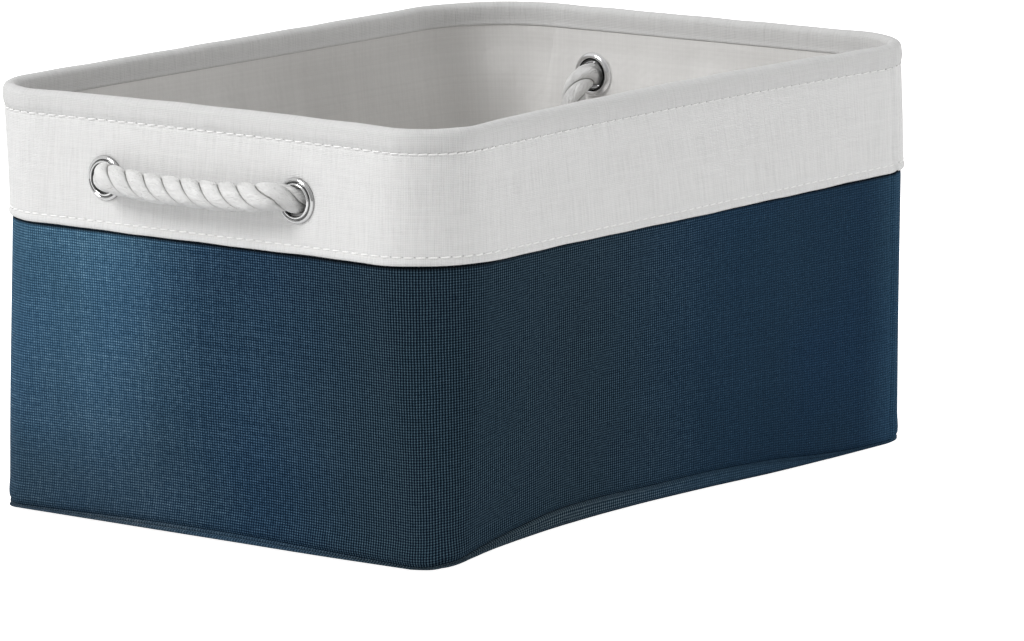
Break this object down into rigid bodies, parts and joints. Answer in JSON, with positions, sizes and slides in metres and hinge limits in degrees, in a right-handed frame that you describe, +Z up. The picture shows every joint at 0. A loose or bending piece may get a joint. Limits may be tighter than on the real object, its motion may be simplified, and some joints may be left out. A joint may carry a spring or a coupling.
{
  "type": "fabric storage bin",
  "caption": "Collapsible rectangular fabric storage bin: canvas band over a wire rim, linen-look wall, lined inside, stiffened base and knotted rope handles through metal eyelets.",
  "frame": {"origin": "on the floor under the middle of the bin", "axes": "+X along the length towards one rope handle, +Y across the width, +Z up"},
  "size_m": [0.429, 0.2996, 0.2108],
  "materials": {
    "navy_linen": "plain weave, navy with lighter blue yarns",
    "white_canvas": "plain weave, matt white",
    "white_lining": "smooth coated cloth",
    "felt_interlining": "non-woven felt",
    "greyboard": "plain greyboard",
    "steel_wire": "drawn wire",
    "chrome": "bright plated",
    "cotton_rope": "soft three-strand cotton"
  },
  "bodies": {
    "base": {"base_panel": "navy_linen", "base_board": "greyboard", "lining_floor": "white_lining", "outer_wall": "navy_linen", "wall_interlining": "felt_interlining", "lining_wall": "white_lining"},
    "rim": {"upper_band": "white_canvas", "rim_wire": "steel_wire", "wire_sleeve": "steel_wire", "eyelet_left_front": "chrome", "washer_left_front": "chrome", "eyelet_left_rear": "chrome", "washer_left_rear": "chrome", "eyelet_right_front": "chrome", "washer_right_front": "chrome", "eyelet_right_rear": "chrome", "washer_right_rear": "chrome"},
    "left_rope_ends": {"rope_left_leg_front": "cotton_rope", "rope_left_leg_rear": "cotton_rope"},
    "left_rope_grip": {"rope_left_grip": "cotton_rope"},
    "left_knots": {"rope_left_tail_front": "cotton_rope", "rope_left_tail_rear": "cotton_rope", "knot_left_front": "cotton_rope", "knot_left_rear": "cotton_rope"},
    "right_rope_ends": {"rope_right_leg_front": "cotton_rope", "rope_right_leg_rear": "cotton_rope"},
    "right_rope_grip": {"rope_right_grip": "cotton_rope"},
    "right_knots": {"rope_right_tail_front": "cotton_rope", "rope_right_tail_rear": "cotton_rope", "knot_right_front": "cotton_rope", "knot_right_rear": "cotton_rope"}
  },
  "joints": [
    {"name": "rim_collapse", "type": "slide", "parent": "base", "child": "rim", "axis": [0, 0, -1], "range_m": [0, 0.085], "deforming": ["outer_wall", "wall_interlining", "lining_wall"]},
    {"name": "left_rope_pull", "type": "slide", "parent": "rim", "child": "left_rope_ends", "axis": [-1, 0, 0], "range_m": [0, 0.031]},
    {"name": "left_grip_swing", "type": "hinge", "parent": "left_rope_ends", "child": "left_rope_grip", "pos_m": [-0.20181, 0, 0.171], "axis": [0, 1, 0], "range_deg": [-30, 30], "deforming": ["rope_left_leg_front", "rope_left_leg_rear"]},
    {"name": "left_knot_turn", "type": "hinge", "parent": "left_rope_ends", "child": "left_knots", "pos_m": [-0.17841, 0, 0.168], "axis": [0, -1, 0], "range_deg": [0, 90], "deforming": ["rope_left_tail_front", "rope_left_tail_rear"]},
    {"name": "right_rope_pull", "type": "slide", "parent": "rim", "child": "right_rope_ends", "axis": [1, 0, 0], "range_m": [0, 0.031]},
    {"name": "right_grip_swing", "type": "hinge", "parent": "right_rope_ends", "child": "right_rope_grip", "pos_m": [0.20285, 0.008, 0.1747], "axis": [0, -1, 0], "range_deg": [-30, 30], "deforming": ["rope_right_leg_front", "rope_right_leg_rear"]},
    {"name": "right_knot_turn", "type": "hinge", "parent": "right_rope_ends", "child": "right_knots", "pos_m": [0.17945, 0.008, 0.1717], "axis": [0, 1, 0], "range_deg": [0, 90], "deforming": ["rope_right_tail_front", "rope_right_tail_rear"]}
  ],
  "couplings": [
    {"joint": "left_knot_turn", "follows": "left_rope_pull", "rad_per_m": 50.6},
    {"joint": "right_knot_turn", "follows": "right_rope_pull", "rad_per_m": 50.6}
  ]
}
